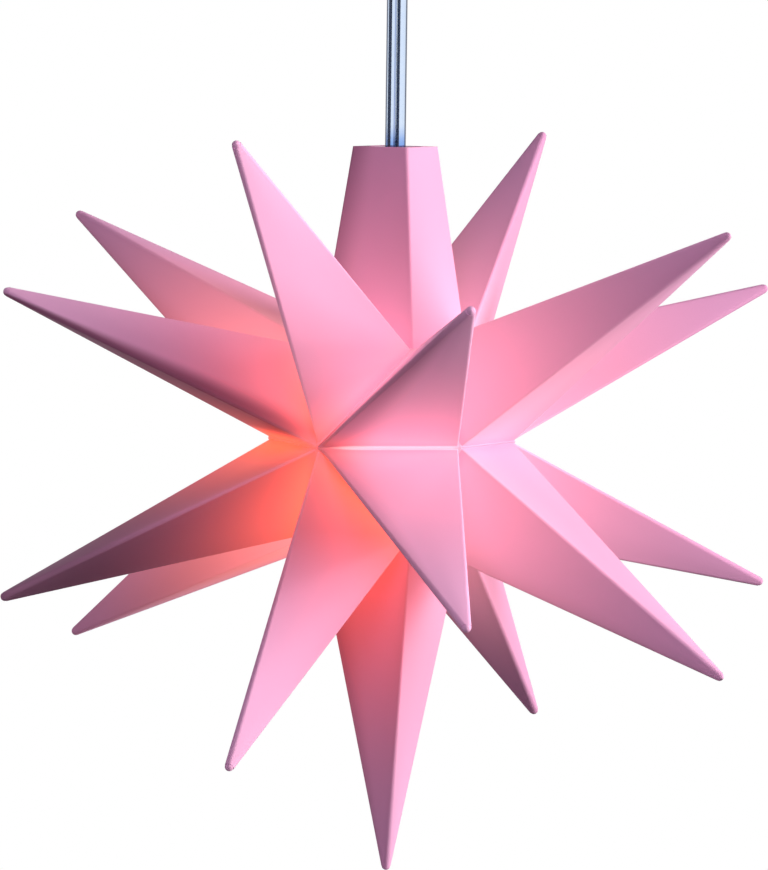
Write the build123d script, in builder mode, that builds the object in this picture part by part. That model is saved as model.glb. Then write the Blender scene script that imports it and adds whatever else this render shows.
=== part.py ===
from build123d import *
import math
import os

# An LED star light: eighteen hollow moulded points, clipped together round a six-sided core, hang on a clear
# flat twin cable from a small ceiling fitting. Millimetres, +Z up. The origin is the centre of the ceiling
# plate's upper face, so everything hangs below it, and -Y is the side it is looked at from.

# Star: the core is a six-sided prism, lying on its side, with a six-sided pyramid on each end
tip_reach = 125.0  # centre of the star to the end of every tip
core_radius = 32.0  # axis of the core to its six long edges
core_half_length = 16.0  # centre of the core to where an end pyramid starts
pole_reach = 43.0  # centre of the core to the top of an end pyramid
star_turn = 30.0  # degrees that the star hangs turned about its cable
point_wall = 1.2
tip_radius = 1.3
tip_shoulder = 0.04  # step between a tip's walls and its dome
tip_flat = 0.13  # how far a tip's rounded corners fall short of a full circle
ridge_radius = 0.5  # rounding of a point's ridges where they leave its base
base_lip = 0.4  # flat rim round the foot of each point
seam_gap = 0.1  # between neighbouring points
skirt_depth = 4.2  # how far each point's skirt runs in towards the centre
skirt_wall = 1.2

# Clips over the skirts of neighbouring points
clip_length = 12.0
clip_wall = 0.8
clip_start = 1.6  # crease to the clip's open edge
clip_clearance = 0.05

# Neck: the upward point, cut off flat, with a round socket for the lamp plug
neck_rise = 84.6  # centre of the star to the flat end
neck_half_width = 9.2
neck_ridge_radius = 1.1
neck_end_wall = 2.6
socket_radius = 6.75
socket_wall = 1.25
socket_length = 17.0
socket_seat_radius = 7.7
socket_seat_depth = 1.2

# Lamp plug and the collar that turns on it; depths are measured down from the neck's flat end
plug_recess = 0.2  # flat end to the top of plug and collar
plug_head_radius = 5.6
plug_head_height = 2.1
plug_radius = 4.6
plug_length = 20.0
plug_bore_radius = 3.7
collar_radius = 6.5
collar_flange_radius = 7.5
collar_flange_height = 0.9
collar_length = 14.2
collar_clearance = 0.1
ring_thickness = 0.8
ring_radius = 5.6
ring_groove_depth = 0.4
ring_gap = 3.0
ring_clearance = 0.05
o_ring_section = 0.65  # radius of the rubber
o_ring_depth = 8.0
o_ring_clearance = 0.07

# Lamp
stem_radius = 3.6
stem_wall = 0.8
stem_insert = 6.0  # length of stem held inside the plug
led_core_radius = 4.0
led_core_length = 20.0
led_spigot_length = 5.0
led_board_thickness = 0.4
led_size = 2.6
led_height = 0.7
led_rows = 2
led_row_spacing = 9.0
diffuser_radius = 6.2
diffuser_wall = 0.9
diffuser_overlap = 4.0  # length of diffuser above the LED core, on the stem
lamp_clearance = 0.05

# Cable: two strands side by side, each round a core
cord_width = 6.0
cord_thickness = 3.1
core_wire_radius = 0.55
cord_clearance = 0.1
hang = 48.0  # underside of the canopy to the neck's flat end
cord_in_plug = 13.0
cord_stop_radius = 3.55
cord_stop_depth = 8.4
cord_stop_length = 4.0

# Ceiling fitting
canopy_radius = 38.0
canopy_height = 30.0
canopy_wall = 1.6
canopy_round = 6.0
canopy_rim_gap = 0.3  # canopy rim to the ceiling
plate_gap = 0.3  # plate edge to the canopy
plate_thickness = 1.5
bolt_spacing = 50.0
bolt_hole_radius = 2.5
inlet_radius = 5.0
inlet_x = -16.0
inlet_y = -14.0
tab_width = 10.0
tab_length = 11.0
tab_thickness = 1.5
canopy_screw_radius = 1.45
canopy_screw_head_radius = 2.6
canopy_screw_head_height = 1.6
canopy_screw_length = 7.0
canopy_screw_drop = 7.0
screw_clearance = 0.1

# Swivel in the canopy's collar, and the trunnion ferrule on the cable's end
swivel_radius = 8.5
swivel_flange_radius = 11.0
swivel_flange_height = 2.0
swivel_clearance = 0.2
swivel_overhang = 1.0  # below the canopy
swivel_pocket_width = 9.2
swivel_pocket_length = 12.2
swivel_collar_wall = 1.8
swivel_collar_height = 9.5
washer_thickness = 0.5
trunnion_radius = 1.5
trunnion_clearance = 0.1
trunnion_reach = 7.4
trunnion_rise = 8.0  # canopy's underside to the trunnion axis
ferrule_width = 8.6
ferrule_thickness = 6.0
ferrule_below = 8.0  # trunnion axis to the ferrule's lower end
ferrule_above = 5.0
cord_in_ferrule = 6.0
core_wire_stand = 1.0  # bare core above the ferrule
grub_radius = 1.2

# Electrics in the canopy
driver_length = 34.0
driver_width = 14.0
driver_height = 12.0
driver_round = 1.5
driver_margin = 3.3  # driver's outer corners to the plate's edge
driver_pad_thickness = 1.0
driver_pad_margin = 2.0
block_length = 15.0
block_width = 11.0
block_height = 12.0
block_x = 8.0
block_margin = 5.8  # block's outer corner to the plate's edge
pole_spacing = 6.0
pole_bore_radius = 1.5
pole_drop = 7.0
terminal_screw_radius = 1.1
terminal_screw_inset = 2.8
block_screw_radius = 1.0
block_screw_head_radius = 1.9
block_screw_head_height = 1.2
wire_radius = 0.8
wire_clearance = 0.05
feed_insert = 3.0
tail_rise = 7.0  # top of the cable's cores to the level where the driver's tails come out
tail_bend = 4.0
tail_gap = 0.8  # driver tail to the cable core below it

# Levels and axes that follow from the sizes above
canopy_floor_z = -canopy_height
neck_end_z = canopy_floor_z - hang
star_z = neck_end_z - neck_rise
star_centre = Vector(0, 0, star_z)
front_axis = Vector(-math.sin(math.radians(star_turn)), -math.cos(math.radians(star_turn)), 0)
right_axis = Vector(math.cos(math.radians(star_turn)), -math.sin(math.radians(star_turn)), 0)
up_axis = Vector(0, 0, 1)
skirt_share = skirt_depth / core_radius
strand_offset = (cord_width - cord_thickness) / 2
trunnion_z = canopy_floor_z + trunnion_rise
ferrule_low_z = trunnion_z - ferrule_below
ferrule_high_z = trunnion_z + ferrule_above
core_wire_top_z = ferrule_high_z + core_wire_stand
tail_z = core_wire_top_z + tail_rise
canopy_inside = canopy_radius - canopy_wall
plate_radius = canopy_inside - plate_gap
driver_edge_y = math.sqrt((plate_radius - driver_margin) ** 2 - (driver_length / 2) ** 2)
driver_y = driver_edge_y - driver_width / 2
block_edge_y = math.sqrt((plate_radius - block_margin) ** 2 - (block_x + block_length / 2) ** 2)
block_y = block_width / 2 - block_edge_y
plug_top_z = neck_end_z - plug_recess
collar_shoulder_z = plug_top_z - plug_head_height - collar_clearance
collar_low_z = plug_top_z - collar_length
ring_top_z = collar_low_z - collar_clearance
o_ring_radius = socket_radius - o_ring_clearance - o_ring_section
led_core_top_z = star_z + led_core_length / 2
led_board_radius = led_core_radius + led_board_thickness * 2 / math.sqrt(3)

os.makedirs("parts", exist_ok=True)


def keep(piece, name):
    """Labels a finished piece and writes it under its name."""
    piece.part.label = name
    export_step(piece.part, f"parts/{name}.step")


def core_place(along, across, rise):
    """A place measured from the star's centre: along the core's axis, across it, and up."""
    return front_axis * along + right_axis * across + up_axis * rise


def ring_corner(step, end):
    """Corner of the core's six-sided end ring, 60 degrees a step from the right; end is 1 front, -1 rear."""
    angle = math.radians(60 * step)
    return core_place(end * core_half_length, core_radius * math.cos(angle), core_radius * math.sin(angle))


def pole(end):
    """Top of the pyramid on one end of the core."""
    return core_place(end * pole_reach, 0, 0)


class BaseFace:
    """One face of the core, on which a point stands, seen from outside with its corners in order."""

    def __init__(self, corners):
        outward = (corners[1] - corners[0]).cross(corners[2] - corners[1]).normalized()
        if outward.dot(corners[0]) < 0:
            corners = corners[::-1]
            outward = -outward
        self.rise = outward.dot(corners[0])
        self.plane = Plane(origin=star_centre + outward * self.rise, x_dir=corners[1] - corners[0], z_dir=outward)
        flat = [self.plane.to_local_coords(star_centre + corner) for corner in corners]
        self.normals = []
        self.reaches = []
        for index, start in enumerate(flat):
            side = flat[(index + 1) % len(flat)] - start
            normal = Vector(side.Y, -side.X, 0).normalized()
            self.normals.append(normal)
            self.reaches.append(normal.dot(start))
        self.leans = [math.cos(math.atan2(reach, self.rise)) for reach in self.reaches]

    def outline(self, reaches):
        """Corners of a shape with this face's side directions, each side its own reach from the point's axis."""
        corners = []
        for index, normal in enumerate(self.normals):
            before = self.normals[index - 1]
            turn = before.X * normal.Y - before.Y * normal.X
            x = (reaches[index - 1] * normal.Y - reaches[index] * before.Y) / turn
            y = (reaches[index] * before.X - reaches[index - 1] * normal.X) / turn
            corners.append((x, y))
        return corners

    def skirt(self, share, inset):
        """Reaches of the skirt, share of the way in to the star's centre, with its sides moved in by inset."""
        return [reach * (1 - share) - inset / lean for reach, lean in zip(self.reaches, self.leans)]


def point_walls(face, height, top_reach, foot_round, top_round, hollow_height):
    """A hollow tapering shell with a skirt: from the rim of its face to a top that is top_reach from the axis."""
    foot = [reach - base_lip for reach in face.reaches]
    at_hollow_top = [low + (top_reach - low) * hollow_height / height for low in foot]
    skirt_plane = face.plane.offset(-face.rise * skirt_share)
    with BuildPart() as walls:
        # Skirt that narrows towards the star's centre, beside its neighbours' skirts
        with BuildSketch(skirt_plane):
            Polygon(*face.outline(face.skirt(skirt_share, seam_gap / 2)), align=None)
        with BuildSketch(face.plane):
            Polygon(*face.outline(face.skirt(0, seam_gap / 2)), align=None)
        loft(ruled=True)
        # Tapering walls with rounded ridges
        with BuildSketch(face.plane) as foot_outline:
            Polygon(*face.outline(foot), align=None)
            fillet(foot_outline.vertices(), foot_round)
        with BuildSketch(face.plane.offset(height)) as top_outline:
            Polygon(*face.outline([top_reach] * len(foot)), align=None)
            fillet(top_outline.vertices(), top_round)
        loft(ruled=True)
        # Hollow of the skirt, then of the walls
        with BuildSketch(skirt_plane):
            Polygon(*face.outline(face.skirt(skirt_share, seam_gap / 2 + skirt_wall)), align=None)
        with BuildSketch(face.plane):
            Polygon(*face.outline(face.skirt(0, seam_gap / 2 + skirt_wall)), align=None)
        loft(ruled=True, mode=Mode.SUBTRACT)
        with BuildSketch(face.plane):
            Polygon(*face.outline([reach - point_wall for reach in foot]), align=None)
        with BuildSketch(face.plane.offset(hollow_height)):
            Polygon(*face.outline([reach - point_wall for reach in at_hollow_top]), align=None)
        loft(ruled=True, mode=Mode.SUBTRACT)
    return walls


def star_point(face, name):
    """A sharp point with a small round tip on the axis through its face."""
    height = tip_reach - tip_radius - face.rise
    narrowest = min(face.reaches) - base_lip
    hollow_end = tip_radius / 2 + point_wall
    hollow_height = height * (narrowest - hollow_end) / (narrowest - tip_radius)
    walls = point_walls(face, height, tip_radius, ridge_radius, tip_radius - tip_flat, hollow_height)
    with BuildPart() as point:
        add(walls.part)
        with Locations(face.plane.offset(height)):
            Sphere(tip_radius - tip_shoulder)
    keep(point, name)


def square_face(step):
    """Long face of the core between two of its long edges."""
    return BaseFace([ring_corner(step, 1), ring_corner(step, -1), ring_corner(step + 1, -1), ring_corner(step + 1, 1)])


def end_face(step, end):
    """Face of one of the core's end pyramids."""
    return BaseFace([pole(end), ring_corner(step, end), ring_corner(step + 1, end)])


# Star points, named by where they show from the front; step 1 of the square faces is the neck
side_names = {0: "right_upper_point", 2: "left_upper_point", 3: "left_lower_point", 4: "bottom_point",
              5: "right_lower_point"}
for step, name in side_names.items():
    star_point(square_face(step), name)

end_places = ["right_upper", "top", "left_upper", "left_lower", "bottom", "right_lower"]
for end, end_name in ((1, "front"), (-1, "rear")):
    for step, place in enumerate(end_places):
        star_point(end_face(step, end), f"{end_name}_{place}_point")

# Neck: the same shell with a flat end, a round socket in it and a seat for the collar's flange
neck_face = square_face(1)
neck_height = neck_rise - neck_face.rise
neck_walls = point_walls(neck_face, neck_height, neck_half_width, ridge_radius, neck_ridge_radius,
                         neck_height - neck_end_wall)
neck_end = Plane.XY.offset(neck_end_z)
with BuildPart() as neck_point:
    add(neck_walls.part)
    with BuildSketch(neck_end):
        Circle(socket_radius + socket_wall)
    extrude(amount=-socket_length)
    with Locations(neck_end):
        CounterBoreHole(socket_radius, socket_seat_radius, socket_seat_depth, socket_length)
keep(neck_point, "neck_point")

# Clips: one on each of the core's thirty edges, bent over the two skirts that meet there
core_edges = []
for step in range(6):
    core_edges.append((ring_corner(step, 1), ring_corner(step, -1)))
    for end in (1, -1):
        core_edges.append((ring_corner(step, end), ring_corner(step + 1, end)))
        core_edges.append((pole(end), ring_corner(step, end)))
skirt_slopes = []
for face in (square_face(0), end_face(0, 1)):
    skirt_slopes.extend(reach / face.rise for reach in face.reaches)
skirt_corner_drop = (seam_gap / 2 + skirt_wall) * max(skirt_slopes)
clip_half_gap = seam_gap / 2 + skirt_wall + clip_clearance
clip_half_width = clip_half_gap + clip_wall
with BuildPart() as edge_clips:
    for start, finish in core_edges:
        middle = (start + finish) * 0.5
        run = (finish - start).normalized()
        outward = middle - run * middle.dot(run)
        clip_floor = outward.length * skirt_share + skirt_corner_drop + clip_clearance
        clip_plane = Plane(origin=star_centre + middle, x_dir=outward.cross(run), z_dir=run)
        with BuildSketch(clip_plane):
            with BuildLine():
                Polyline((-clip_half_width, -clip_start), (-clip_half_width, -clip_floor - clip_wall),
                         (clip_half_width, -clip_floor - clip_wall), (clip_half_width, -clip_start),
                         (clip_half_gap, -clip_start), (clip_half_gap, -clip_floor),
                         (-clip_half_gap, -clip_floor), (-clip_half_gap, -clip_start), close=True)
            make_face()
        extrude(amount=clip_length / 2, both=True)
keep(edge_clips, "edge_clips")

# Lamp plug: a headed journal with a slot for the cable, a bore below it and a groove for the ring
ring_low_z = ring_top_z - ring_thickness
with BuildPart() as lamp_plug:
    with BuildSketch(Plane.XY.offset(plug_top_z)):
        Circle(plug_head_radius)
    extrude(amount=-plug_head_height)
    with BuildSketch(Plane.XY.offset(plug_top_z)):
        Circle(plug_radius)
    extrude(amount=-plug_length)
    with BuildSketch(Plane.XY.offset(plug_top_z - cord_stop_depth)):
        Circle(plug_bore_radius)
    extrude(amount=-plug_length, mode=Mode.SUBTRACT)
    with BuildSketch(Plane.XY.offset(plug_top_z)):
        SlotOverall(cord_width + 2 * cord_clearance, cord_thickness + 2 * cord_clearance)
    extrude(amount=-plug_length, mode=Mode.SUBTRACT)
    with BuildSketch(Plane.XY.offset(ring_top_z + ring_clearance)):
        Circle(plug_radius + ring_clearance)
        Circle(plug_radius - ring_groove_depth, mode=Mode.SUBTRACT)
    extrude(amount=-ring_thickness - 2 * ring_clearance, mode=Mode.SUBTRACT)
keep(lamp_plug, "lamp_plug")

# Collar that turns on the plug's journal under its head, flanged to sit in the neck's end
with BuildPart() as plug_collar:
    with BuildSketch(Plane.XY.offset(plug_top_z)):
        Circle(collar_flange_radius)
    extrude(amount=-collar_flange_height)
    with BuildSketch(Plane.XY.offset(plug_top_z)):
        Circle(collar_radius)
    extrude(amount=-collar_length)
    with Locations(Plane.XY.offset(plug_top_z)):
        CounterBoreHole(plug_radius + collar_clearance, plug_head_radius + collar_clearance,
                        plug_top_z - collar_shoulder_z, collar_length)
    with Locations((0, 0, plug_top_z - o_ring_depth)):
        Torus(o_ring_radius, o_ring_section + o_ring_clearance, mode=Mode.SUBTRACT)
keep(plug_collar, "plug_collar")

with BuildPart() as plug_o_ring:
    with Locations((0, 0, plug_top_z - o_ring_depth)):
        Torus(o_ring_radius, o_ring_section)
keep(plug_o_ring, "plug_o_ring")

# Open ring in the plug's groove, which keeps the collar up
with BuildPart() as collar_ring:
    with BuildSketch(Plane.XY.offset(ring_low_z)):
        Circle(ring_radius)
        Circle(plug_radius - ring_groove_depth + ring_clearance, mode=Mode.SUBTRACT)
        with Locations((0, -ring_radius)):
            Rectangle(ring_gap, 2 * ring_radius, mode=Mode.SUBTRACT)
    extrude(amount=ring_thickness)
keep(collar_ring, "collar_ring")

# Sleeve crimped on the cable under the plug's slot, which carries the lamp and the star
with BuildPart() as cord_stop:
    with BuildSketch(Plane.XY.offset(plug_top_z - cord_stop_depth)):
        Circle(cord_stop_radius)
        SlotOverall(cord_width + cord_clearance, cord_thickness + cord_clearance, mode=Mode.SUBTRACT)
    extrude(amount=-cord_stop_length)
keep(cord_stop, "cord_stop")

# Stem from the plug down to the middle of the star
stem_top_z = plug_top_z - plug_length + stem_insert
with BuildPart() as lamp_stem:
    with BuildSketch(Plane.XY.offset(led_core_top_z)):
        Circle(stem_radius)
        Circle(stem_radius - stem_wall, mode=Mode.SUBTRACT)
    extrude(amount=stem_top_z - led_core_top_z)
keep(lamp_stem, "lamp_stem")

# Six-sided metal post that carries the LEDs, with a spigot in the stem and a hole for each core of the cable
with BuildPart() as led_core:
    with BuildSketch(Plane.XY.offset(led_core_top_z)):
        RegularPolygon(led_core_radius, 6)
    extrude(amount=-led_core_length)
    with BuildSketch(Plane.XY.offset(led_core_top_z)):
        Circle(stem_radius - stem_wall - lamp_clearance)
    extrude(amount=led_spigot_length)
    with BuildSketch(Plane.XY.offset(led_core_top_z + led_spigot_length)):
        with Locations((strand_offset, 0), (-strand_offset, 0)):
            Circle(core_wire_radius + lamp_clearance)
    extrude(amount=-2 * led_spigot_length, mode=Mode.SUBTRACT)
keep(led_core, "led_core")

# Flexible board wrapped round the post
with BuildPart() as led_board:
    with BuildSketch(Plane.XY.offset(led_core_top_z)):
        RegularPolygon(led_board_radius, 6)
        RegularPolygon(led_core_radius, 6, mode=Mode.SUBTRACT)
    extrude(amount=-led_core_length)
keep(led_board, "led_board")

# LEDs on each side of the post, in rows
led_face_reach = led_board_radius * math.cos(math.radians(30)) + led_height / 2
with BuildPart() as leds:
    for row in range(led_rows):
        row_z = star_z + (row - (led_rows - 1) / 2) * led_row_spacing
        with Locations((0, 0, row_z)):
            with PolarLocations(led_face_reach, 6, start_angle=30):
                Box(led_height, led_size, led_size)
keep(leds, "leds")

# Opal cup over the LEDs, with a collar on the stem
diffuser_top_z = led_core_top_z + diffuser_overlap
diffuser_low_z = star_z - led_core_length / 2 - lamp_clearance
diffuser_bore = diffuser_radius - diffuser_wall
with BuildPart() as diffuser:
    with BuildSketch(Plane.XZ):
        with BuildLine():
            Polyline((0, diffuser_low_z - diffuser_radius), (0, diffuser_low_z - diffuser_bore))
            RadiusArc((0, diffuser_low_z - diffuser_bore), (diffuser_bore, diffuser_low_z), -diffuser_bore)
            Polyline((diffuser_bore, diffuser_low_z), (diffuser_bore, led_core_top_z + lamp_clearance),
                     (stem_radius + lamp_clearance, led_core_top_z + lamp_clearance),
                     (stem_radius + lamp_clearance, diffuser_top_z), (diffuser_radius, diffuser_top_z),
                     (diffuser_radius, diffuser_low_z))
            RadiusArc((0, diffuser_low_z - diffuser_radius), (diffuser_radius, diffuser_low_z), -diffuser_radius)
        make_face()
    revolve(axis=Axis.Z)
keep(diffuser, "diffuser")

# Cable, from inside the ferrule to inside the plug, and its two cores, which run on to the LED post
cord_top_z = ferrule_low_z + cord_in_ferrule
cord_low_z = plug_top_z - cord_in_plug
with BuildPart() as cord:
    with BuildSketch(Plane.XY.offset(cord_low_z)):
        with Locations((strand_offset, 0), (-strand_offset, 0)):
            Circle(cord_thickness / 2)
        with Locations((strand_offset, 0), (-strand_offset, 0)):
            Circle(core_wire_radius + wire_clearance, mode=Mode.SUBTRACT)
    extrude(amount=cord_top_z - cord_low_z)
keep(cord, "cord")

with BuildPart() as cord_cores:
    with BuildSketch(Plane.XY.offset(led_core_top_z)):
        with Locations((strand_offset, 0), (-strand_offset, 0)):
            Circle(core_wire_radius)
    extrude(amount=core_wire_top_z - led_core_top_z)
keep(cord_cores, "cord_cores")

# Ferrule on the cable's upper end, with a trunnion on each side to hang from and a grub screw on the cable
grub_z = ferrule_low_z + cord_in_ferrule / 2
with BuildPart() as cord_ferrule:
    with BuildSketch(Plane.XY.offset(ferrule_low_z)):
        Rectangle(ferrule_width, ferrule_thickness)
    extrude(amount=ferrule_high_z - ferrule_low_z)
    with BuildSketch(Plane.YZ.offset(-trunnion_reach)):
        with Locations((0, trunnion_z)):
            Circle(trunnion_radius)
    extrude(amount=2 * trunnion_reach)
    with BuildSketch(Plane.XY.offset(ferrule_low_z)):
        SlotOverall(cord_width + cord_clearance, cord_thickness + cord_clearance)
    extrude(amount=cord_in_ferrule + cord_clearance, mode=Mode.SUBTRACT)
    with BuildSketch(Plane.XY.offset(ferrule_low_z)):
        with Locations((strand_offset, 0), (-strand_offset, 0)):
            Circle(core_wire_radius + wire_clearance)
    extrude(amount=ferrule_high_z - ferrule_low_z, mode=Mode.SUBTRACT)
    with BuildSketch(Plane.XZ.offset(ferrule_thickness / 2)):
        with Locations((0, grub_z)):
            Circle(grub_radius + wire_clearance)
    extrude(amount=-ferrule_thickness / 2, mode=Mode.SUBTRACT)
keep(cord_ferrule, "cord_ferrule")

with BuildPart() as ferrule_screw:
    with BuildSketch(Plane.XZ.offset(ferrule_thickness / 2)):
        with Locations((0, grub_z)):
            Circle(grub_radius)
    extrude(amount=-ferrule_thickness / 2 + cord_thickness / 2 + cord_clearance)
    with BuildSketch(Plane.XZ.offset(ferrule_thickness / 2)):
        with Locations((0, grub_z)):
            RegularPolygon(grub_radius / 2, 6)
    extrude(amount=-grub_radius / 2, mode=Mode.SUBTRACT)
keep(ferrule_screw, "ferrule_screw")

# Swivel bush: turns in the canopy's collar, with open-topped seats for the trunnions
swivel_collar_top_z = canopy_floor_z + canopy_wall + swivel_collar_height
swivel_flange_z = swivel_collar_top_z + washer_thickness
swivel_top_z = swivel_flange_z + swivel_flange_height
swivel_low_z = canopy_floor_z - swivel_overhang
trunnion_seat_radius = trunnion_radius + trunnion_clearance
with BuildPart() as swivel_bush:
    with BuildSketch(Plane.XY.offset(swivel_low_z)):
        Circle(swivel_radius)
    extrude(amount=swivel_top_z - swivel_low_z)
    with BuildSketch(Plane.XY.offset(swivel_flange_z)):
        Circle(swivel_flange_radius)
    extrude(amount=swivel_flange_height)
    with BuildSketch(Plane.XY.offset(swivel_low_z)):
        Rectangle(swivel_pocket_width, swivel_pocket_length)
    extrude(amount=swivel_top_z - swivel_low_z, mode=Mode.SUBTRACT)
    with BuildSketch(Plane.YZ.offset(-swivel_flange_radius)):
        with Locations((0, trunnion_z)):
            Circle(trunnion_seat_radius)
        with Locations((0, (trunnion_z + swivel_top_z) / 2)):
            Rectangle(2 * trunnion_seat_radius, swivel_top_z - trunnion_z)
    extrude(amount=2 * swivel_flange_radius, mode=Mode.SUBTRACT)
keep(swivel_bush, "swivel_bush")

with BuildPart() as swivel_washer:
    with BuildSketch(Plane.XY.offset(swivel_collar_top_z)):
        Circle(swivel_flange_radius)
        Circle(swivel_radius + swivel_clearance, mode=Mode.SUBTRACT)
    extrude(amount=washer_thickness)
keep(swivel_washer, "swivel_washer")

# Canopy: a round cup with a collar in its floor for the swivel and a screw hole on each side
canopy_bore = swivel_radius + swivel_clearance
canopy_floor_top_z = canopy_floor_z + canopy_wall
with BuildPart() as canopy_hollow:
    with BuildSketch(Plane.XY.offset(canopy_floor_top_z)):
        Circle(canopy_inside)
    extrude(amount=canopy_height)
    fillet(canopy_hollow.edges().group_by(Axis.Z)[0], canopy_round - canopy_wall)
with BuildPart() as canopy:
    with BuildSketch(Plane.XY.offset(canopy_floor_z)):
        Circle(canopy_radius)
    extrude(amount=canopy_height - canopy_rim_gap)
    fillet(canopy.edges().group_by(Axis.Z)[0], canopy_round)
    add(canopy_hollow.part, mode=Mode.SUBTRACT)
    with BuildSketch(Plane.XY.offset(canopy_floor_z)):
        Circle(canopy_bore + swivel_collar_wall)
    extrude(amount=canopy_wall + swivel_collar_height)
    with BuildSketch(Plane.XY.offset(canopy_floor_z)):
        Circle(canopy_bore)
    extrude(amount=canopy_wall + swivel_collar_height, mode=Mode.SUBTRACT)
    with BuildSketch(Plane.YZ.offset(-canopy_radius)):
        with Locations((0, -canopy_screw_drop)):
            Circle(canopy_screw_radius + screw_clearance)
    extrude(amount=2 * canopy_radius, mode=Mode.SUBTRACT)
keep(canopy, "canopy")

# Ceiling plate: two screw holes to the ceiling, a cable inlet, and a bent tab on each side for the canopy
tab_outer = math.sqrt(plate_radius ** 2 - (tab_width / 2) ** 2)
with BuildPart() as ceiling_plate:
    with BuildSketch(Plane.XY):
        Circle(plate_radius)
        with GridLocations(bolt_spacing, 0, 2, 1):
            Circle(bolt_hole_radius, mode=Mode.SUBTRACT)
        with Locations((inlet_x, inlet_y)):
            Circle(inlet_radius, mode=Mode.SUBTRACT)
        with Locations((block_x, block_y)):
            Circle(block_screw_radius + screw_clearance, mode=Mode.SUBTRACT)
    extrude(amount=-plate_thickness)
    with BuildSketch(Plane.XY):
        with Locations((tab_outer - tab_thickness / 2, 0), (tab_thickness / 2 - tab_outer, 0)):
            Rectangle(tab_thickness, tab_width)
    extrude(amount=-tab_length)
    with BuildSketch(Plane.YZ.offset(-canopy_radius)):
        with Locations((0, -canopy_screw_drop)):
            Circle(canopy_screw_radius + wire_clearance)
    extrude(amount=2 * canopy_radius, mode=Mode.SUBTRACT)
keep(ceiling_plate, "ceiling_plate")

# Screws that hold the canopy on the plate's tabs
with BuildPart() as canopy_screws:
    for side in (1, -1):
        with BuildSketch(Plane(origin=(side * canopy_radius, 0, -canopy_screw_drop), z_dir=(side, 0, 0))):
            Circle(canopy_screw_head_radius)
        extrude(amount=canopy_screw_head_height)
        with BuildSketch(Plane(origin=(side * canopy_radius, 0, -canopy_screw_drop), z_dir=(side, 0, 0))):
            Circle(canopy_screw_radius)
        extrude(amount=-canopy_screw_length)
        slot_depth = canopy_screw_head_height / 2
        slot_x = canopy_radius + canopy_screw_head_height - slot_depth
        with BuildSketch(Plane(origin=(side * slot_x, 0, -canopy_screw_drop), z_dir=(side, 0, 0))):
            Rectangle(canopy_screw_head_radius * 2, slot_depth)
        extrude(amount=slot_depth, mode=Mode.SUBTRACT)
keep(canopy_screws, "canopy_screws")

# LED driver on a foam pad under the plate
driver_top_z = -plate_thickness - driver_pad_thickness
with BuildPart() as led_driver:
    with BuildSketch(Plane.XY.offset(driver_top_z)):
        with Locations((0, driver_y)):
            Rectangle(driver_length, driver_width)
    extrude(amount=-driver_height)
    fillet(led_driver.edges().filter_by(Axis.Z), driver_round)
    fillet(led_driver.edges().group_by(Axis.Z)[0], driver_round / 2)
    with BuildSketch(Plane.XZ.offset(driver_width / 2 - driver_y)):
        with Locations((block_x - pole_spacing / 2, -pole_drop), (block_x + pole_spacing / 2, -pole_drop),
                       (-strand_offset, tail_z), (strand_offset, tail_z)):
            Circle(wire_radius + wire_clearance)
    extrude(amount=-feed_insert, mode=Mode.SUBTRACT)
keep(led_driver, "led_driver")

with BuildPart() as driver_pad:
    with BuildSketch(Plane.XY.offset(-plate_thickness)):
        with Locations((0, driver_y)):
            Rectangle(driver_length - 2 * driver_pad_margin, driver_width - 2 * driver_pad_margin)
    extrude(amount=-driver_pad_thickness)
keep(driver_pad, "driver_pad")

# Terminal block screwed to the plate, with two poles and a clamping screw at each end of both
block_front_y = block_y + block_width / 2
block_low_z = -plate_thickness - block_height
terminal_places = []
for pole_side in (-1, 1):
    for block_side in (-1, 1):
        terminal_places.append((block_x + pole_side * pole_spacing / 2,
                                block_y + block_side * (block_width / 2 - terminal_screw_inset)))
with BuildPart() as terminal_block:
    with BuildSketch(Plane.XY.offset(-plate_thickness)):
        with Locations((block_x, block_y)):
            Rectangle(block_length, block_width)
    extrude(amount=-block_height)
    with BuildSketch(Plane.XZ.offset(-block_front_y)):
        with Locations((block_x - pole_spacing / 2, -pole_drop), (block_x + pole_spacing / 2, -pole_drop)):
            Circle(pole_bore_radius)
    extrude(amount=block_width, mode=Mode.SUBTRACT)
    with BuildSketch(Plane.XY.offset(block_low_z)):
        with Locations(*terminal_places):
            Circle(terminal_screw_radius + screw_clearance)
    extrude(amount=-pole_drop - block_low_z, mode=Mode.SUBTRACT)
    with BuildSketch(Plane.XY.offset(block_low_z)):
        with Locations((block_x, block_y)):
            Circle(block_screw_radius + screw_clearance)
    extrude(amount=block_height, mode=Mode.SUBTRACT)
keep(terminal_block, "terminal_block")

with BuildPart() as terminal_screws:
    with BuildSketch(Plane.XY.offset(block_low_z)):
        with Locations(*terminal_places):
            Circle(terminal_screw_radius)
    extrude(amount=-pole_drop - wire_radius - wire_clearance - block_low_z)
    with BuildSketch(Plane.XY.offset(block_low_z)):
        with Locations(*terminal_places):
            Rectangle(2 * terminal_screw_radius, terminal_screw_radius / 2)
    extrude(amount=terminal_screw_radius / 2, mode=Mode.SUBTRACT)
keep(terminal_screws, "terminal_screws")

with BuildPart() as block_screw:
    with BuildSketch(Plane.XY.offset(block_low_z)):
        with Locations((block_x, block_y)):
            Circle(block_screw_head_radius)
    extrude(amount=-block_screw_head_height)
    with BuildSketch(Plane.XY.offset(block_low_z)):
        with Locations((block_x, block_y)):
            Circle(block_screw_radius)
    extrude(amount=block_height + plate_thickness)
keep(block_screw, "block_screw")

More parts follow.
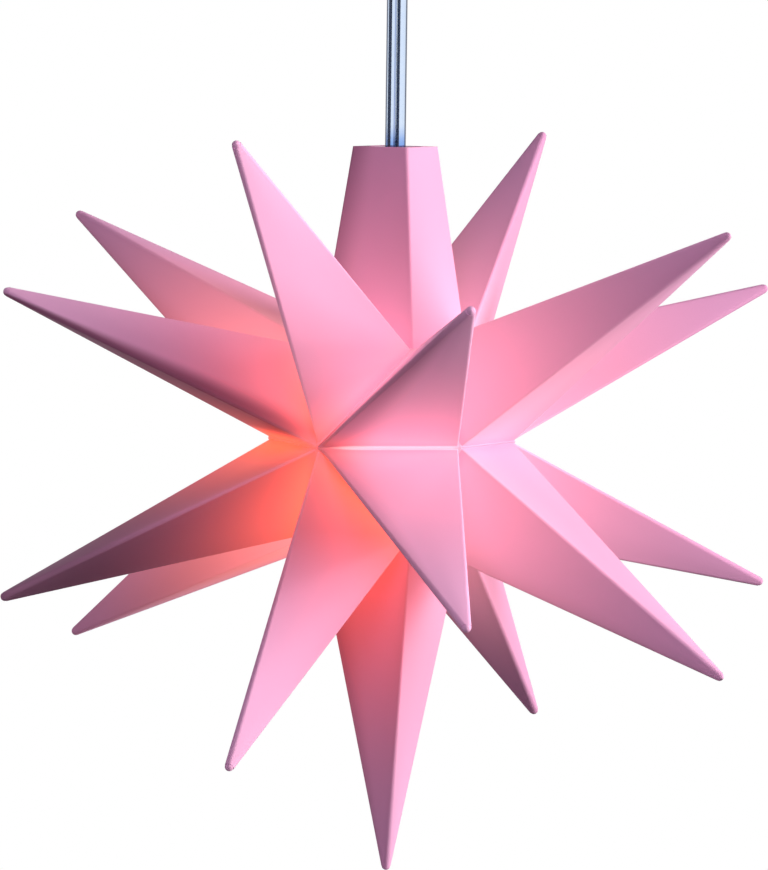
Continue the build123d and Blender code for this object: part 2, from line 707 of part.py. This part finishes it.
# Wires from the terminal block to the driver, and the driver's tails down to the cable's cores
driver_front_y = driver_y - driver_width / 2
with BuildPart() as feed_wires:
    with BuildSketch(Plane.XZ.offset(feed_insert - block_front_y)):
        with Locations((block_x - pole_spacing / 2, -pole_drop), (block_x + pole_spacing / 2, -pole_drop)):
            Circle(wire_radius)
    extrude(amount=block_front_y - driver_front_y - 2 * feed_insert + wire_clearance)
keep(feed_wires, "feed_wires")

with BuildPart() as driver_tails:
    for tail_x in (-strand_offset, strand_offset):
        with BuildLine() as tail_path:
            FilletPolyline((tail_x, driver_front_y + feed_insert - wire_clearance, tail_z),
                           (tail_x, 0, tail_z),
                           (tail_x, 0, core_wire_top_z + tail_gap), radius=tail_bend)
        with BuildSketch(Plane(origin=tail_path.line @ 0, z_dir=tail_path.line % 0)):
            Circle(wire_radius)
        sweep(path=tail_path.line)
keep(driver_tails, "driver_tails")
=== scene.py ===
import math

import bmesh
import bpy
from mathutils import Matrix, Vector


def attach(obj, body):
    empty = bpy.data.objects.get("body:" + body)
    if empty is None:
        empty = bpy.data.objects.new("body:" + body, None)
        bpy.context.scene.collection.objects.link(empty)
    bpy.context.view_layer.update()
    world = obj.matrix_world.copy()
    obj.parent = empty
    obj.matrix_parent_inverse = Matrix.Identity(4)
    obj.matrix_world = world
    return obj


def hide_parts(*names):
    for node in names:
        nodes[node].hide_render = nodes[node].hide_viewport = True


# A pink star light with a lamp inside, hung on a clear twin cable. Metres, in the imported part's frame.
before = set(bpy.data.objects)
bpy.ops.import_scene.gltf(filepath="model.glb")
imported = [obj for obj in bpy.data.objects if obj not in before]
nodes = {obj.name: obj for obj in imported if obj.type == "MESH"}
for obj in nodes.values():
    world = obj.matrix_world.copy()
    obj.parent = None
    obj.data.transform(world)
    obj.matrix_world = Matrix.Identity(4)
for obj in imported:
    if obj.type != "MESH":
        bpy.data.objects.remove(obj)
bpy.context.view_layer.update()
scene = bpy.context.scene
scene.view_settings.view_transform = "Standard"

star_centre = Vector((0, 0, -0.1626))
neck_end_z = -0.078

# Camera
sensor_width = 36.0
image_width = 768
focal_length_pixels = 6615.6
camera_distance = 1.9088
camera_azimuth = math.radians(-0.31)
camera_elevation = math.radians(3.963)
camera_roll = math.radians(-0.75)
camera_pan = math.radians(-0.0651)
camera_tilt = math.radians(0.0408)
nearest_seen = 0.05
farthest_seen = 50


def from_star(azimuth, elevation, distance):
    """A place that far from the star's centre; azimuth 0 is the front and 90 degrees the right."""
    flat = math.cos(elevation)
    away = Vector((flat * math.sin(azimuth), -flat * math.cos(azimuth), math.sin(elevation)))
    return star_centre + away * distance


def make_camera():
    """A long lens, a little above the star, that shows it as large and as far to the side as it should be."""
    data = bpy.data.cameras.new("camera")
    data.sensor_fit = "HORIZONTAL"
    data.sensor_width = sensor_width
    data.lens = focal_length_pixels / image_width * sensor_width
    data.clip_start = nearest_seen
    data.clip_end = farthest_seen
    camera = bpy.data.objects.new("camera", data)
    scene.collection.objects.link(camera)
    place = from_star(camera_azimuth, camera_elevation, camera_distance)
    aim = (star_centre - place).to_track_quat("-Z", "Y").to_matrix()
    roll = Matrix.Rotation(-camera_roll, 3, "Z")
    pan = Matrix.Rotation(-camera_pan, 3, "Y")
    tilt = Matrix.Rotation(camera_tilt, 3, "X")
    camera.matrix_world = Matrix.Translation(place) @ (aim @ roll @ pan @ tilt).to_4x4()
    scene.camera = camera


make_camera()

# Shader maths
noise_range = (0.3, 0.7)


class Value:
    """A node's output that takes part in sums; each operation adds a Math node."""

    def __init__(self, shading, socket):
        self.shading = shading
        self.socket = socket

    def math(self, operation, other=0.0):
        return self.shading.node("ShaderNodeMath", {"operation": operation}, {0: self, 1: other})

    def reflected(self, operation, other):
        return self.shading.node("ShaderNodeMath", {"operation": operation}, {0: other, 1: self})

    def __abs__(self):
        return self.math("ABSOLUTE")

    def __add__(self, other):
        return self.math("ADD", other)

    def __radd__(self, other):
        return self.reflected("ADD", other)

    def __sub__(self, other):
        return self.math("SUBTRACT", other)

    def __rsub__(self, other):
        return self.reflected("SUBTRACT", other)

    def __mul__(self, other):
        return self.math("MULTIPLY", other)

    def __rmul__(self, other):
        return self.reflected("MULTIPLY", other)

    def __truediv__(self, other):
        return self.math("DIVIDE", other)

    def __rtruediv__(self, other):
        return self.reflected("DIVIDE", other)

    def __pow__(self, other):
        return self.math("POWER", other)

    def __rpow__(self, other):
        return self.reflected("POWER", other)


class Shading:
    """The nodes of a material or of the world."""

    def __init__(self, tree):
        self.tree = tree

    def node(self, kind, settings, sockets, output=0):
        """Any node: its type, its settings, its sockets' values or links, and the output that is wanted."""
        made = self.tree.nodes.new(kind)
        for name, setting in settings.items():
            setattr(made, name, setting)
        for name, value in sockets.items():
            self.feed(made.inputs[name], value)
        return Value(self, made.outputs[output])

    def feed(self, socket, value):
        if isinstance(value, Value):
            self.tree.links.new(value.socket, socket)
        else:
            socket.default_value = value

    def white_where_seen(self, lit, white, end):
        """White to the camera, in gloss and through clear pieces; the lit shader to rays that light."""
        seen = self.node("ShaderNodeLightPath", {}, {}, "Is Camera Ray")
        for ray in ("Is Glossy Ray", "Is Transmission Ray"):
            seen = seen.math("MAXIMUM", self.node("ShaderNodeLightPath", {}, {}, ray))
        both = self.node("ShaderNodeMixShader", {}, {0: seen, 1: lit, 2: white})
        self.feed(self.tree.nodes[end].inputs["Surface"], both)


class Finish(Shading):
    """One material: a Principled shader and the nodes that feed it."""

    def __init__(self, name):
        self.material = bpy.data.materials.new(name)
        self.material.use_nodes = True
        super().__init__(self.material.node_tree)
        self.shader = self.tree.nodes["Principled BSDF"]

    def surface(self, **sockets):
        """Sets or links the main shader's sockets, named with underscores for spaces."""
        for name, value in sockets.items():
            self.feed(self.shader.inputs[name.replace("_", " ")], value)
        return self.material

    def place(self):
        """Where a point lies on the part at rest, whatever its body does."""
        return self.node("ShaderNodeTexCoord", {}, {}, "Object")

    def noise(self, scale, detail):
        return self.node("ShaderNodeTexNoise", {}, {"Vector": self.place(), "Scale": scale, "Detail": detail})

    def mix(self, share, first, second):
        """A colour between two."""
        return self.node("ShaderNodeMix", {"data_type": "RGBA"}, {0: share, 6: first, 7: second}, 2)

    def span(self, value, low, high, to_low=0.0, to_high=1.0):
        """Value from low to high, mapped smoothly and held at both ends."""
        return self.node("ShaderNodeMapRange", {"interpolation_type": "SMOOTHSTEP"}, {
            "Value": value, "From Min": low, "From Max": high, "To Min": to_low, "To Max": to_high})

    def uneven(self, noise, smooth, rough):
        """A roughness that follows a noise."""
        return self.span(noise, *noise_range, smooth, rough)

    def bump(self, height, strength, distance, **normal):
        return self.node("ShaderNodeBump", {}, {
            "Height": height, "Strength": strength, "Distance": distance, **normal})


def dress(finish, *names):
    """Gives CAD nodes one material."""
    for name in names:
        slots = nodes[name].data.materials
        slots.clear()
        slots.append(finish)


def add_piece(name, mesh, finish, body):
    """A mesh as a piece that rides on a body."""
    mesh.materials.append(finish)
    piece = bpy.data.objects.new(name, mesh)
    scene.collection.objects.link(piece)
    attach(piece, body)
    return piece


# Cable: two clear strands side by side, each round a twisted core
strand_radius = 0.00155
strand_offset = 0.00145
strand_arc_points = 20
cable_route = [(0, 0, -0.0912), (0, 0, neck_end_z), (0, 0, -0.058), (0, 0, -0.040), (0, 0, -0.024)]
cable_route_steps = 12
web_offset = -0.0004
web_line_inside = 0.0001
web_line_outside = 0.00035
neck_blue_length = 0.007
core_radius = 0.00034
core_offsets = {"cable_core_left": -0.00175, "cable_core_right": 0.00081}
core_route = [(0, 0, -0.1526), (0, 0, -0.110), (0, 0, neck_end_z), (0, 0, -0.045), (0, 0, -0.016)]
core_route_steps = 40
core_lay = 0.011
core_wires = 7
core_ring_points = 35
core_groove = 0.07

clear_blue = (0.60, 0.74, 0.98, 1)
clear_pale = (0.74, 0.85, 1.0, 1)
neck_blue = (0.22, 0.40, 0.85, 1)
# Painted shade colours for the line along the web.
web_shade_lilac = (0.14, 0.19, 0.42, 1)
web_shade_navy = (0.001, 0.004, 0.03, 1)
# Painted shade colour for the cable's outer edges.
edge_shade_navy = (0.012, 0.015, 0.03, 1)
core_dark = (0.002, 0.012, 0.04, 1)
core_pale = (0.012, 0.04, 0.10, 1)
haze_scale = 900
core_grain_scale = 700
edge_shade_facing = (0.19, 0.38)


def route_points(name, points, steps):
    """Points along the smooth line that the route gives."""
    curve = bpy.data.curves.new(name, "CURVE")
    curve.dimensions = "3D"
    curve.resolution_u = steps
    spline = curve.splines.new("NURBS")
    spline.points.add(len(points) - 1)
    for point, place in zip(spline.points, points):
        point.co = (*place, 1)
    spline.order_u = 3
    spline.use_endpoint_u = True
    holder = bpy.data.objects.new(name, curve)
    line = bpy.data.meshes.new_from_object(holder)
    found = [vertex.co.copy() for vertex in line.vertices]
    bpy.data.objects.remove(holder)
    bpy.data.meshes.remove(line)
    bpy.data.curves.remove(curve)
    return found


def skin(mesh_name, rings):
    """A closed tube through rings of points."""
    build = bmesh.new()
    loops = [[build.verts.new(point) for point in ring] for ring in rings]
    count = len(loops[0])
    for lower, upper in zip(loops, loops[1:]):
        for index in range(count):
            after = (index + 1) % count
            build.faces.new((lower[index], lower[after], upper[after], upper[index]))
    build.faces.new(loops[0][::-1])
    build.faces.new(loops[-1])
    bmesh.ops.recalc_face_normals(build, faces=build.faces)
    for face in build.faces:
        face.smooth = len(face.verts) == 4
    mesh = bpy.data.meshes.new(mesh_name)
    build.to_mesh(mesh)
    build.free()
    return mesh


def sheath_outline():
    """Outline of two round strands that join at a waist."""
    opening = math.acos(strand_offset / strand_radius)
    arc = 2 * math.pi - 2 * opening
    right_half = []
    for step in range(strand_arc_points):
        angle = opening - math.pi + arc * step / (strand_arc_points - 1)
        x = strand_offset + strand_radius * math.cos(angle)
        y = strand_radius * math.sin(angle)
        right_half.append(Vector((x, y, 0)))
    return right_half + [-point for point in right_half]


def core_ring(place, offset):
    """Outline of a bundle of wires, turned as far as its lay has it at that height."""
    twist = 2 * math.pi * place.z / core_lay
    ring = []
    for step in range(core_ring_points):
        angle = 2 * math.pi * step / core_ring_points
        wave = math.cos(core_wires * (angle - twist))
        reach = core_radius * (1 - core_groove + core_groove * wave)
        ring.append(place + Vector((offset + reach * math.cos(angle), reach * math.sin(angle), 0)))
    return ring


def clear_finish():
    """Clear plastic with painted shade at its dark outer edges and a painted lilac shade line at the web;
    bluer just above the neck.
    """
    finish = Finish("clear_cable")
    haze = finish.noise(haze_scale, 4)
    across = finish.node("ShaderNodeSeparateXYZ", {}, {0: finish.place()}, "X")
    height = finish.node("ShaderNodeSeparateXYZ", {}, {0: finish.place()}, "Z")
    near_neck = finish.span(height, neck_end_z, neck_end_z + neck_blue_length, 1, 0)
    clear = finish.mix(near_neck, finish.mix(haze, clear_blue, clear_pale), neck_blue)
    # Painted shade: a lilac line along the web, navy just above the neck, for the shade in the waist between
    # the two strands.
    on_web = finish.span(abs(across - web_offset), web_line_inside, web_line_outside, 1, 0)
    clear = finish.mix(on_web, clear, finish.mix(near_neck, web_shade_lilac, web_shade_navy))
    # Painted shade: where the clear strands are seen edge-on near their outer sides, they turn dark navy.
    facing = finish.node("ShaderNodeLayerWeight", {}, {"Blend": 0.5}, "Facing")
    outer = finish.span(abs(across), strand_offset, strand_offset + strand_radius / 2)
    edge = finish.span(facing, *edge_shade_facing) * outer
    return finish.surface(
        Base_Color=finish.mix(edge, clear, edge_shade_navy), Roughness=finish.uneven(haze, 0.01, 0.04),
        Transmission_Weight=1.0, IOR=1.46)


# The cores' near-black navy is partly their own tint and partly painted shade, the darkness they show through
# the clear sheath.
def core_finish():
    finish = Finish("tinned_copper")
    grain = finish.noise(core_grain_scale, 2)
    return finish.surface(
        Base_Color=finish.mix(grain, core_dark, core_pale), Roughness=finish.uneven(grain, 0.2, 0.38),
        Metallic=1.0)


def make_cable():
    """The clear sheath and the two cores in it, in place of the cord and its cores, which are hidden."""
    path = route_points("cable_route", cable_route, cable_route_steps)
    outline = sheath_outline()
    rings = [[place + point for point in outline] for place in path]
    sheath = add_piece("cable_sheath", skin("cable_sheath", rings), clear_finish(), "lamp")
    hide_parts("cord")
    metal = core_finish()
    core_path = route_points("core_route", core_route, core_route_steps)
    for name, offset in core_offsets.items():
        rings = [core_ring(place, offset) for place in core_path]
        core = add_piece(name, skin(name, rings), metal, "lamp")
        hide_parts("cord_cores")


make_cable()

# Star points: pink moulded plastic. The lamp's light through it and the light that falls on its right are
# painted into its glow, and shade and sheen into its colour.
# Lengths on the star are in millimetres, apart from its noise and bump, which are in metres.
millimetres = 1000
front_axis = Vector((-0.5, -0.866, 0))
right_axis = Vector((0.866, -0.5, 0))
up_axis = Vector((0, 0, 1))
light_side = (0.962, -0.084, 0.259)
lamp_side = (-0.85, 0, -0.53)
down = (0, 0, -1)
tip_reach = 125.0
tip_half_width = 1.5
point_slope = 0.16
swell_start = 40
lamp_radius = 9.0

core_side_distance = 27.71
core_side_normal = (0.866, 0.5)
core_end_distance = 30.80
core_end_normal = (0.7162, 0.6978)
seam_front = (15, 18)
seam_start = (1, 6)
seam_narrowing = 6
seam_width = 0.9
seam_strength = 0.34
seam_glow = (1.0, 0.78, 0.72)
crease_reach = 14
crease_shade_reach = 3.5
crease_shade_dim = 0.75

shell_dark = (0.83, 0.322, 0.555, 1)
shell_pale = (0.86, 0.34, 0.58, 1)
# Painted sheen on the tips, cool lavender, darker on the rear points and lighter on the front ones.
tip_rear_sheen = (0.68, 0.325, 0.59, 1)
tip_front_sheen = (0.91, 0.465, 0.775, 1)
# Painted shade on the rear points.
rear_shade_plum = (0.35, 0.10, 0.22, 1)
# Painted shade colour for the undersides of points and for their sides away from the lamps.
deep_shade_plum = (0.20, 0.035, 0.085, 1)
# Painted shadow colour for the far left lower point.
far_left_shadow_plum = (0.14, 0.04, 0.065, 1)
cloud_scale = 28
grain_scale = 1800
grain_height = 0.0004

# Where each glow and shade begins and ends: in millimetres, or from -1 to 1 by direction or across a point
lamp_share = (0.04, 0.57)
upper_half = (0, 5)
underside = (0.1, 0.5)
underside_left = (0.35, 0.55)
dim_side = (-1.5, -0.7)
dim_side_glow = 0.4
lit_side = (0.1, 0.7)
# Painted shade on the side of each point away from the key lamps.
painted_shade_side = (-1.55, -0.55)
painted_shade_side_share = 0.5
tip_depth = (-30, 30)
tip_fade = (45, 115)
rear_shade_depth = (-35, -12)
rear_shade_share = 0.11
far_left_turn = (0.72, 0.90)
far_left_fade = (50, 110)


class StarFinish(Finish):
    """Pink plastic that knows which star point it is on, by its place round the star."""

    def __init__(self, name, lean_out, lean_front):
        super().__init__(name)
        self.from_centre = self.scaled(self.vector("SUBTRACT", self.place(), star_centre), millimetres)
        self.front = self.dot(self.from_centre, front_axis)
        self.right = self.dot(self.from_centre, right_axis)
        self.up = self.dot(self.from_centre, up_axis)
        self.reach = self.node(
            "ShaderNodeVectorMath", {"operation": "LENGTH"}, {0: self.from_centre}, "Value")
        self.low_left = self.dot(self.from_centre, lamp_side) / self.reach
        self.axis = self.point_axis(lean_out, lean_front)
        self.along = self.dot(self.from_centre, self.axis)
        self.height = self.above_core()

    def vector(self, operation, first, second):
        return self.node("ShaderNodeVectorMath", {"operation": operation}, {0: first, 1: second})

    def scaled(self, colour, amount):
        return self.node("ShaderNodeVectorMath", {"operation": "SCALE"}, {0: colour, "Scale": amount})

    def dot(self, first, second):
        return self.node("ShaderNodeVectorMath", {"operation": "DOT_PRODUCT"}, {0: first, 1: second}, "Value")

    def bell(self, spread):
        """1 near the lamp and less further out, on a bell curve."""
        past = (self.reach - lamp_radius) / spread
        return math.e ** (past * past * -0.5)

    def point_axis(self, lean_out, lean_front):
        """The direction of the star point that a place is on, one of six round the star at each end."""
        sixth = math.pi / 3
        turn = ((self.up.math("ARCTAN2", self.right) / sixth).math("FLOOR") + 0.5) * sixth
        across = self.scaled(right_axis, turn.math("COSINE") * lean_out)
        rise = self.scaled(up_axis, turn.math("SINE") * lean_out)
        depth = self.scaled(front_axis, self.front.math("SIGN") * lean_front)
        return self.vector("ADD", self.vector("ADD", across, rise), depth)

    def above_core(self):
        """How far a place stands off the six-sided core, with its six-sided pyramid on each end."""
        side_right, side_up = core_side_normal
        end_front, end_out = core_end_normal
        side = abs(self.right) * side_right + abs(self.up) * side_up
        out = side.math("MAXIMUM", abs(self.up))
        end = abs(self.front) * end_front + out * end_out
        return (out - core_side_distance).math("MAXIMUM", end - core_end_distance)

    def off_axis(self, direction):
        """-1 to 1: how far a place is off its point's axis in a direction, from one ridge to the other."""
        sideways = self.dot(self.from_centre, direction) - self.along * self.dot(self.axis, direction)
        return sideways / ((tip_reach - self.along) * point_slope + tip_half_width)

    def seam(self):
        """A painted bright line of light along the seam between points on the right of the front pole."""
        right_of_pole = self.span(self.right - abs(self.up) * seam_narrowing, *seam_start)
        beside_pole = right_of_pole * self.span(self.front, *seam_front)
        return self.span(self.height, 0, seam_width, seam_strength, 0) * beside_pole

    def soft_normal(self, near, far):
        """The normal of faces that swell a little, more towards the tip, so that the ridges look soft."""
        outward = self.vector("SUBTRACT", self.from_centre, self.scaled(self.axis, self.along))
        outward = self.node("ShaderNodeVectorMath", {"operation": "NORMALIZE"}, {0: outward})
        flat = self.node("ShaderNodeTexCoord", {}, {}, "Normal")
        swell = self.span(self.along, swell_start, tip_reach, near, far)
        bent = self.node("ShaderNodeMix", {"data_type": "VECTOR"}, {0: swell, 4: flat, 5: outward}, 1)
        return self.node("ShaderNodeVectorTransform", {
            "vector_type": "NORMAL", "convert_from": "OBJECT", "convert_to": "WORLD"}, {0: bent})


def star_finish(name, lean, swell, lamp_glow, lamp_spread, through_light_glow, through_light_spread, crease_glow,
                lit_share, under_shade, far_left_shade):
    """Pink plastic with a painted glow near its middle, coral below and to the left, pink above and to the
    right, and painted shade and sheen.
    """
    finish = StarFinish(name, *lean)
    side = finish.off_axis(light_side)
    # Painted shade on the undersides of the upper left points, in the valley above the points below them:
    # deep plum colour and less glow.
    under = finish.span(finish.off_axis(down), *underside) * finish.span(finish.up, *upper_half)
    under = under * finish.span(finish.low_left, *underside_left, 0, under_shade)

    # Painted light in the emission: the lamp's light through the plastic, coral below and to the left, and
    # the light of the lamps on the right that shines through the walls, pink above and to the right.
    share = finish.span(finish.low_left, *lamp_share)
    lamp = finish.scaled(lamp_glow, share * finish.bell(lamp_spread))
    through_light = finish.scaled(through_light_glow, (1 - share) * finish.bell(through_light_spread))
    # Painted light: an orange glow along the creases between points.
    in_crease = finish.scaled(crease_glow, finish.span(finish.height, 0, crease_reach, 1, 0))
    glow = finish.vector("ADD", finish.vector("ADD", lamp, through_light), in_crease)
    # Painted shade on the glow: it dims on the side of each point away from the key lamps, and a little on
    # the side that faces them.
    shaded = finish.span(side, *dim_side, dim_side_glow, 1) * finish.span(side, *lit_side, 1, lit_share)
    # Painted shade: the glow dims close to the joins between points.
    crease_shade = finish.span(finish.height, 0, crease_shade_reach, crease_shade_dim, 1)
    glow = finish.scaled(glow, shaded * crease_shade * (1 - under))
    # Painted light: a bright line along that seam.
    glow = finish.vector("ADD", glow, finish.scaled(seam_glow, finish.seam()))

    cloud = finish.noise(cloud_scale, 2)
    grain = finish.noise(grain_scale, 3)
    plastic = finish.mix(cloud, shell_dark, shell_pale)
    # Painted sheen: towards their tips the points turn a cooler lavender, lighter on the front points and
    # darker on the rear ones.
    tip = finish.mix(finish.span(finish.front, *tip_depth), tip_rear_sheen, tip_front_sheen)
    plastic = finish.mix(finish.span(finish.reach, *tip_fade), plastic, tip)
    # Painted shade: the rear points turn a little darker plum.
    plastic = finish.mix(finish.span(finish.front, *rear_shade_depth, rear_shade_share, 0), plastic, rear_shade_plum)
    plastic = finish.mix(under, plastic, deep_shade_plum)
    # Painted shadow: the point at the far lower left darkens towards its tip.
    far_left = finish.span(finish.reach, *far_left_fade, 0, far_left_shade)
    far_left = far_left * finish.span(finish.low_left, *far_left_turn)
    plastic = finish.mix(far_left, plastic, far_left_shadow_plum)
    # Painted shade: the side of each point away from the key lamps turns deep plum.
    plastic = finish.mix(finish.span(side, *painted_shade_side, painted_shade_side_share, 0), plastic, deep_shade_plum)
    return finish.surface(
        Base_Color=plastic, Roughness=finish.uneven(cloud, 0.56, 0.64), Specular_IOR_Level=0.1,
        Emission_Color=glow, Emission_Strength=1.0,
        Normal=finish.bump(grain, 0.05, grain_height, Normal=finish.soft_normal(*swell)))


star_plastic = star_finish(
    "star_plastic", lean=(0.696, 0.718), swell=(0.0, 0.12),
    lamp_glow=(1.30, 0.20, 0.06), lamp_spread=28.0,
    through_light_glow=(0.60, 0.265, 0.31), through_light_spread=42.0,
    crease_glow=(0.30, 0.03, 0), lit_share=0.92, under_shade=0.75, far_left_shade=0.6)
side_plastic = star_finish(
    "star_plastic_side", lean=(1, 0), swell=(0.05, 0.42),
    lamp_glow=(1.40, 0.33, 0.28), lamp_spread=44.0,
    through_light_glow=(0.68, 0.29, 0.30), through_light_spread=42.0,
    crease_glow=(0.02, 0, 0), lit_share=0.55, under_shade=0.1, far_left_shade=0.0)
upright_plastic = star_finish(
    "star_plastic_upright", lean=(1, 0), swell=(0.05, 0.42),
    lamp_glow=(0.95, 0.075, 0.02), lamp_spread=37.0,
    through_light_glow=(0.46, 0.20, 0.24), through_light_spread=34.0,
    crease_glow=(0.02, 0, 0), lit_share=0.9, under_shade=0.0, far_left_shade=0.0)
end_points = [name for name in nodes if name.startswith(("front_", "rear_")) and name.endswith("_point")]
dress(star_plastic, *end_points)
dress(side_plastic, "left_upper_point", "left_lower_point", "right_upper_point", "right_lower_point")
dress(upright_plastic, "neck_point", "bottom_point")

# Other pieces
plain_bump_height = 0.0003


def plain_finish(name, dark, pale, smooth, rough, metallic=0.0, scale=300.0, bump=0.05, **more):
    """A moulded, painted or metal finish with a fine grain."""
    finish = Finish(name)
    grain = finish.noise(scale, 3)
    return finish.surface(
        Base_Color=finish.mix(grain, (*dark, 1), (*pale, 1)), Roughness=finish.uneven(grain, smooth, rough),
        Metallic=metallic, Normal=finish.bump(grain, bump, plain_bump_height), **more)


white_plastic = plain_finish("white_plastic", (0.66, 0.66, 0.65), (0.72, 0.72, 0.71), 0.3, 0.42)
swivel_plastic = plain_finish("swivel_plastic", (0.76, 0.76, 0.75), (0.82, 0.82, 0.81), 0.28, 0.4)
plug_plastic = plain_finish("plug_plastic", (0.70, 0.71, 0.73), (0.78, 0.79, 0.81), 0.3, 0.45)
clip_plastic = plain_finish("clip_plastic", (0.70, 0.70, 0.70), (0.78, 0.78, 0.78), 0.35, 0.5)
washer_plastic = plain_finish("washer_plastic", (0.62, 0.62, 0.60), (0.70, 0.70, 0.68), 0.3, 0.4)
block_plastic = plain_finish("block_plastic", (0.72, 0.71, 0.66), (0.80, 0.79, 0.74), 0.4, 0.55)
driver_case = plain_finish("driver_case", (0.70, 0.71, 0.72), (0.78, 0.79, 0.80), 0.35, 0.5)
wire_sleeve = plain_finish("wire_sleeve", (0.55, 0.56, 0.58), (0.66, 0.67, 0.69), 0.35, 0.5)
foam_pad = plain_finish("foam_pad", (0.05, 0.05, 0.055), (0.11, 0.11, 0.12), 0.85, 0.97, scale=900, bump=0.5)
seal_rubber = plain_finish("seal_rubber", (0.02, 0.02, 0.022), (0.05, 0.05, 0.055), 0.5, 0.65)
plated_steel = plain_finish(
    "plated_steel", (0.56, 0.57, 0.58), (0.66, 0.67, 0.68), 0.22, 0.4, metallic=1.0, scale=500)
brass = plain_finish("brass", (0.70, 0.53, 0.27), (0.80, 0.62, 0.33), 0.2, 0.36, metallic=1.0, scale=500)
aluminium = plain_finish(
    "aluminium", (0.72, 0.73, 0.75), (0.82, 0.83, 0.85), 0.25, 0.45, metallic=1.0, scale=600)
board = plain_finish("board", (0.80, 0.81, 0.80), (0.88, 0.89, 0.88), 0.3, 0.45)
led = plain_finish(
    "led", (0.90, 0.74, 0.35), (0.95, 0.80, 0.42), 0.2, 0.3,
    Emission_Color=(1.0, 0.78, 0.52, 1), Emission_Strength=1.2)
opal_plastic = plain_finish(
    "opal_plastic", (0.62, 0.55, 0.45), (0.68, 0.60, 0.50), 0.4, 0.5,
    Emission_Color=(1.0, 0.62, 0.34, 1), Emission_Strength=0.3)

dress(white_plastic, "canopy")
dress(swivel_plastic, "swivel_bush")
dress(plug_plastic, "lamp_plug", "plug_collar")
dress(clip_plastic, "edge_clips")
dress(washer_plastic, "swivel_washer")
dress(block_plastic, "terminal_block")
dress(driver_case, "led_driver")
dress(wire_sleeve, "feed_wires", "driver_tails")
dress(foam_pad, "driver_pad")
dress(seal_rubber, "plug_o_ring")
dress(plated_steel, "ceiling_plate", "canopy_screws", "collar_ring", "block_screw", "ferrule_screw")
dress(brass, "cord_ferrule", "cord_stop", "terminal_screws")
dress(aluminium, "led_core", "lamp_stem")
dress(board, "led_board")
dress(led, "leds")
dress(opal_plastic, "diffuser")

# Floor, world and lights
floor_half = 6
floor_z = -4.5
light_distance = 1.1
light_width = 0.5


def make_floor():
    """A flat white sheet, far below."""
    finish = Finish("studio")
    finish.surface(Base_Color=(0.85, 0.85, 0.85, 1), Roughness=0.8)
    paint = Value(finish, finish.shader.outputs[0])
    finish.white_where_seen(paint, finish.node("ShaderNodeEmission", {}, {}), "Material Output")
    mesh = bpy.data.meshes.new("floor")
    corners = [(-floor_half, -floor_half, 0), (floor_half, -floor_half, 0), (floor_half, floor_half, 0),
               (-floor_half, floor_half, 0)]
    mesh.from_pydata(corners, [], [(0, 1, 2, 3)])
    mesh.materials.append(finish.material)
    sheet = bpy.data.objects.new("floor", mesh)
    sheet.location = (0, 0, floor_z)
    scene.collection.objects.link(sheet)


def make_world():
    """White where it is seen, and no light of its own."""
    world = bpy.data.worlds.new("studio")
    world.use_nodes = True
    scene.world = world
    shading = Shading(world.node_tree)
    dark = shading.node("ShaderNodeBackground", {}, {"Color": (0, 0, 0, 1)})
    white = shading.node("ShaderNodeBackground", {}, {"Color": (1, 1, 1, 1)})
    shading.white_where_seen(dark, white, "World Output")


def soft_box(name, azimuth, elevation, watts, tint):
    """A square soft light that points at the star; the camera, gloss and clear pieces don't show it."""
    data = bpy.data.lights.new(name, "AREA")
    data.shape = "SQUARE"
    data.size = light_width
    data.energy = watts
    data.color = tint
    box = bpy.data.objects.new(name, data)
    scene.collection.objects.link(box)
    place = from_star(math.radians(azimuth), math.radians(elevation), light_distance)
    box.location = place
    box.rotation_euler = (star_centre - place).to_track_quat("-Z", "Y").to_euler()
    box.visible_camera = False
    box.visible_glossy = False
    box.visible_transmission = False


make_floor()
make_world()
soft_box("key", 85, 15, 9.4, (1, 0.97, 0.82))
soft_box("key_low", 80, -5, 8.1, (1, 1, 0.88))
soft_box("right_high", 75, 50, 2.6, (1, 0.97, 0.86))
soft_box("top", 0, 85, 1.1, (0.85, 0.95, 1))
soft_box("left", -68, -24, 1.7, (1, 0.90, 0.98))
soft_box("front", -2, 22, 3.2, (1, 0.92, 1))
